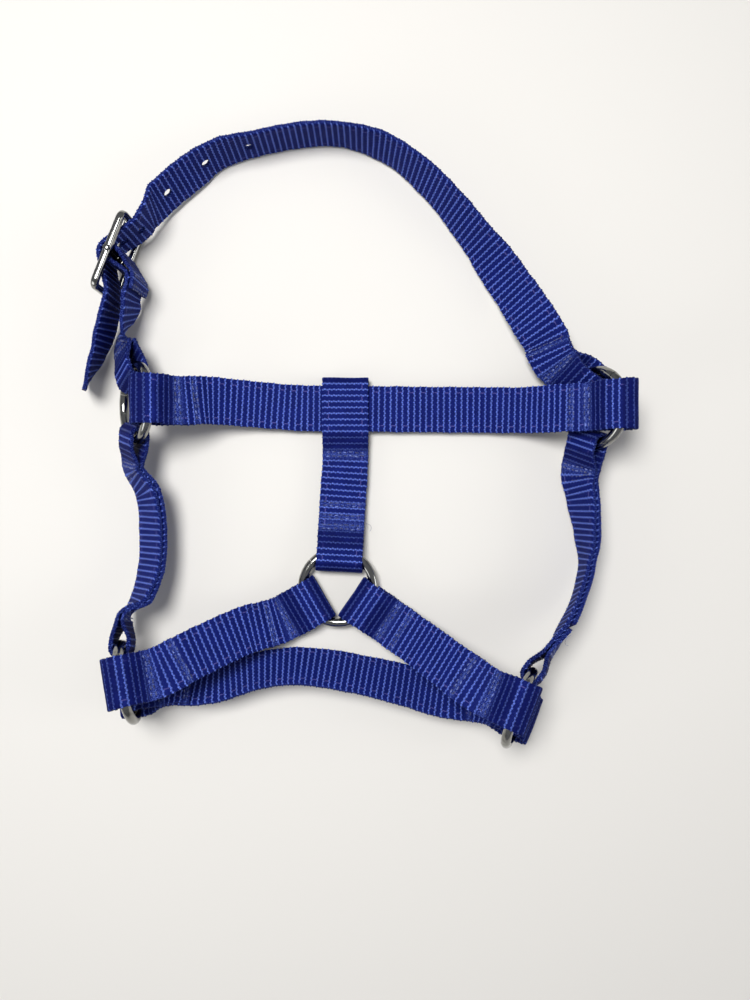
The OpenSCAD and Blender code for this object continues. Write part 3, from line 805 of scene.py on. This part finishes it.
def loose_fibre(name, *places):
    """One fine filament that has worked out of the webbing, bent through five places."""
    bpy.ops.object.select_all(action="DESELECT")
    bpy.ops.curve.primitive_nurbs_path_add()
    fibre_path = bpy.context.object
    fibre_path.name = name
    line = fibre_path.data.splines[0]
    for point, place in zip(line.points, places):
        point.co = (*place, 1)
    fibre_path.data.bevel_depth = fibre_r
    fibre_path.data.bevel_resolution = 1
    fibre_path.data.resolution_u = 6
    bpy.ops.object.convert(target="MESH")
    bpy.ops.object.transform_apply(location=True, rotation=True, scale=True)
    piece = bpy.context.object
    piece.data.name = name
    piece.data.materials.clear()
    piece.data.materials.append(sewing_thread)
    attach(piece, "webbing")


loose_fibre("fibre_jaw", at(-5, -9, 4.6), at(-3.4, -10.2, 5.2), at(-1.6, -9.4, 5.6),
            at(-0.8, -11.4, 5.2), at(-2.2, -13, 4.4))
loose_fibre("fibre_chin", at(-51.2, -44.4, 14), at(-49.8, -42, 15.2), at(-47.4, -40.8, 15.4),
            at(-45.6, -42, 14.2), at(-46, -44, 13))
loose_fibre("fibre_cheek", at(75.4, -52, 24), at(73.6, -52.8, 24.6), at(72.4, -54.6, 24.4),
            at(73.2, -56.2, 23.4), at(74.8, -56.4, 22.6))


# ---------------------------------------------------------------------------
# Rings: 3.8 mm steel wire bent round to 29.2 mm across its middle, butted with
# a short seam, then nickel plated and tumbled bright. Five alike.
# ---------------------------------------------------------------------------
nickel, tree, shader = new_finish("nickel", Metallic=1.0)
own = Wire.node(tree, "ShaderNodeTexCoord", None, None, 3)
haze = Wire.node(tree, "ShaderNodeTexNoise", None, {"Vector": own, "Scale": 220.0, "Detail": 4.0}, 0)
scuff = Wire.node(tree, "ShaderNodeTexNoise", None, {"Vector": own, "Scale": 1400.0, "Detail": 2.0}, 0)
worn = haze.smooth(0.50, 0.72)
# Both nickel colours are set dark as painted shade, standing in for dark surroundings reflected in bright
# nickel; the haze between them is wear.
nickel_clean_shaded = (0.27, 0.27, 0.255, 1)
nickel_worn_shaded = (0.13, 0.128, 0.115, 1)
tree.links.new(worn.tint(nickel_clean_shaded, nickel_worn_shaded).socket, shader.inputs["Base Color"])
tree.links.new((0.07 + worn * 0.12 + scuff * 0.07).socket, shader.inputs["Roughness"])
bump = Wire.node(tree, "ShaderNodeBump", None, {"Height": haze * 0.5 + scuff * 0.3, "Distance": 0.03 * MM})
tree.links.new(bump.socket, shader.inputs["Normal"])

seam_angle = 0.02
bpy.ops.object.select_all(action="DESELECT")
bpy.ops.mesh.primitive_circle_add(vertices=28, radius=wire_r, fill_type="NGON", location=(ring_c, 0, 0),
                                  rotation=(math.pi / 2, 0, 0))
one_ring = bpy.context.object
bpy.ops.object.transform_apply(location=True, rotation=True, scale=True)
bpy.ops.object.mode_set(mode="EDIT")
bpy.ops.mesh.select_all(action="SELECT")
bpy.ops.mesh.inset(thickness=0.35 * MM, depth=0)
bpy.ops.mesh.select_all(action="SELECT")
bpy.ops.mesh.spin(steps=110, angle=2 * math.pi - seam_angle, center=(0, 0, 0), axis=(0, 0, 1), dupli=False)
bpy.ops.mesh.select_all(action="SELECT")
bpy.ops.mesh.remove_doubles(threshold=0.005 * MM)
bpy.ops.mesh.normals_make_consistent(inside=False)
bpy.ops.object.mode_set(mode="OBJECT")
bpy.ops.object.shade_smooth_by_angle(angle=math.radians(40))
one_ring.data.materials.append(nickel)


def hang_ring(name, node, ring, seam_at):
    """A copy of the ring in its place, its seam turned to that angle."""
    piece = one_ring.copy()
    piece.data = one_ring.data.copy()
    piece.name = piece.data.name = name
    bpy.context.collection.objects.link(piece)
    centre, first, second = ring
    axis = first.cross(second)
    turn = Matrix.Rotation(math.radians(seam_at), 4, "Z")
    frame_4 = Matrix((first, second, axis)).transposed().to_4x4()
    piece.data.transform(Matrix.Translation(centre) @ frame_4 @ turn)
    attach(piece, node)
    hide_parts(node)


hang_ring("wire_ring_upper_left", "ring_upper_left", ring_ul, 250)
hang_ring("wire_ring_upper_right", "ring_upper_right", ring_ur, 140)
hang_ring("wire_ring_lower_left", "ring_lower_left", ring_ll, 230)
hang_ring("wire_ring_lower_right", "ring_lower_right", ring_lr, 10)
hang_ring("wire_ring_lead", "ring_lead", ring_ld, 135)
bpy.data.objects.remove(one_ring)


# ---------------------------------------------------------------------------
# Buckle: a cast frame with a centre bar, rounded edges, nickel plated, and a
# bent wire tongue that turns on the bar and rests on the frame's end.
# ---------------------------------------------------------------------------
def to_buckle(piece):
    """Turns a piece made along X, Y and Z into the buckle's own directions."""
    frame_4 = Matrix((buckle_x, buckle_y, Vector((0, 0, 1)))).transposed().to_4x4()
    piece.data.transform(Matrix.Translation(buckle_o) @ frame_4)


outer_l, outer_w = (2 * window_l + bar_d + 2 * side_d) * MM, (buckle_w + 2 * side_d) * MM
bpy.ops.object.select_all(action="DESELECT")
bpy.ops.mesh.primitive_cube_add(size=1, scale=(outer_l, side_d * MM, outer_w))
cast_frame = bpy.context.object
cast_frame.name = cast_frame.data.name = "cast_buckle_frame"
bpy.ops.object.transform_apply(location=True, rotation=True, scale=True)
select_in(cast_frame, "EDGE", lambda e: runs_along(cast_frame.data, e, 1))
bpy.ops.mesh.bevel(offset=4 * MM, segments=8, affect="EDGES")
select_in(cast_frame, "FACE", lambda f: abs(f.normal.y) > 0.9)
bpy.ops.mesh.inset(thickness=side_d * MM, depth=0)
select_in(cast_frame, "FACE", lambda f: abs(f.normal.y) > 0.9 and abs(f.center.x) < 1 * MM
          and abs(f.center.z) < 1 * MM)
bpy.ops.mesh.bridge_edge_loops()
bpy.ops.object.mode_set(mode="OBJECT")
edge_round = cast_frame.modifiers.new("edge_round", "BEVEL")
edge_round.width = 0.95 * MM
edge_round.segments = 4
edge_round.limit_method = "ANGLE"
edge_round.angle_limit = math.radians(50)
bpy.ops.object.modifier_apply(modifier=edge_round.name)
bpy.ops.object.shade_smooth_by_angle(angle=math.radians(50))
cast_frame.data.materials.append(nickel)
to_buckle(cast_frame)
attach(cast_frame, "buckle_frame")
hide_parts("buckle_frame")

bpy.ops.object.select_all(action="DESELECT")
bar_l = (buckle_w + 2 * side_d + 0.5) * MM
bpy.ops.mesh.primitive_cylinder_add(vertices=32, radius=bar_d / 2 * MM, depth=bar_l)
centre_bar = bpy.context.object
centre_bar.name = centre_bar.data.name = "centre_bar"
select_in(centre_bar, "FACE", lambda f: abs(f.normal.z) > 0.9)
bpy.ops.mesh.inset(thickness=0.3 * MM, depth=0.25 * MM)
bpy.ops.mesh.inset(thickness=0.35 * MM, depth=0.12 * MM)
bpy.ops.object.mode_set(mode="OBJECT")
bpy.ops.object.shade_smooth_by_angle(angle=math.radians(35))
centre_bar.data.materials.append(nickel)
to_buckle(centre_bar)
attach(centre_bar, "buckle_frame")

eye = (bar_d / 2 + 0.3 + tongue_d / 2) * MM
tongue_r = tongue_d / 2 * MM
bpy.ops.object.select_all(action="DESELECT")
bpy.ops.mesh.primitive_circle_add(vertices=20, radius=tongue_r, fill_type="NGON", location=(0, eye, 0),
                                  rotation=(0, math.pi / 2, 0))
wire_tongue = bpy.context.object
wire_tongue.name = wire_tongue.data.name = "wire_tongue"
bpy.ops.object.transform_apply(location=True, rotation=True, scale=True)
bpy.ops.object.mode_set(mode="EDIT")
bpy.ops.mesh.select_all(action="SELECT")
bpy.ops.mesh.spin(steps=44, angle=math.radians(345), center=(0, 0, 0), axis=(0, 0, 1), dupli=False)
bpy.ops.object.mode_set(mode="OBJECT")
shank_end = (weave_x + side_d / 2) * MM
start_face = min(wire_tongue.data.polygons, key=lambda f: (f.center - Vector((0, eye, 0))).length)
start_face_index = start_face.index
select_in(wire_tongue, "FACE", lambda f: f.index == start_face_index)
for far, thin in ((0.15, 0.97), (0.5, 0.93), (0.9, 0.95), (0.985, 0.8), (1.02, 0.6), (1.035, 0.45)):
    bpy.ops.mesh.extrude_region_move(TRANSFORM_OT_translate={"value": (0, 0, 0)})
    bpy.ops.object.mode_set(mode="OBJECT")
    chosen = [v for v in wire_tongue.data.vertices if v.select]
    middle = sum((v.co for v in chosen), Vector()) / len(chosen)
    for v in chosen:
        v.co.x = far * shank_end
        v.co.y = eye + (v.co.y - middle.y) * thin
        v.co.z = (v.co.z - middle.z) * thin
    bpy.ops.object.mode_set(mode="EDIT")
bpy.ops.mesh.select_all(action="SELECT")
bpy.ops.mesh.normals_make_consistent(inside=False)
bpy.ops.object.mode_set(mode="OBJECT")
bpy.ops.object.shade_smooth_by_angle(angle=math.radians(60))
wire_tongue.data.materials.append(nickel)
to_buckle(wire_tongue)
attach(wire_tongue, "buckle_tongue")
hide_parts("buckle_tongue")


# ---------------------------------------------------------------------------
# Floor, light and camera: a plain pale floor, a large soft light overhead, two
# weaker ones beside it, and a camera looking straight down on the halter.
# ---------------------------------------------------------------------------
visual_low, visual_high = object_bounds()
bpy.ops.object.select_all(action="DESELECT")
bpy.ops.mesh.primitive_plane_add(size=6, location=(0, 0, visual_low.z - 0.02 * MM))
floor = bpy.context.object
floor.name = "floor"
floor_paint, tree, shader = new_finish("floor_paint", Roughness=0.8)
shader.inputs["Base Color"].default_value = (0.66, 0.64, 0.60, 1)
floor.data.materials.append(floor_paint)


def soft_light(name, size, energy, place, aim):
    bpy.ops.object.light_add(type="AREA", location=place)
    light = bpy.context.object
    light.name = name
    light.data.shape = "DISK"
    light.data.size = size
    light.data.energy = energy
    light.rotation_euler = (Vector(aim) - Vector(place)).to_track_quat("-Z", "Y").to_euler()


soft_light("key_light", 0.30, 6.2, (-0.14, 0.16, 0.70), (0, 0, 0))
soft_light("side_light", 0.5, 2.0, (0.9, -0.1, 0.45), (0, 0, 0.02))
soft_light("low_light", 0.5, 1.6, (-0.8, -0.5, 0.4), (0, 0, 0.02))
world = bpy.context.scene.world or bpy.data.worlds.new("world")
bpy.context.scene.world = world
world.use_nodes = True
world.node_tree.nodes["Background"].inputs["Color"].default_value = (0.9, 0.92, 1.0, 1)
world.node_tree.nodes["Background"].inputs["Strength"].default_value = 0.30
bpy.context.scene.view_settings.view_transform = "Standard"

bpy.ops.object.camera_add(location=(10.2 * MM, -25.5 * MM, 305 * MM), rotation=(0, 0, 0))
camera = bpy.context.object
camera.data.sensor_width = 36
camera.data.lens = 36 * 305 / 418
camera.data.clip_start = 0.01
bpy.context.scene.camera = camera
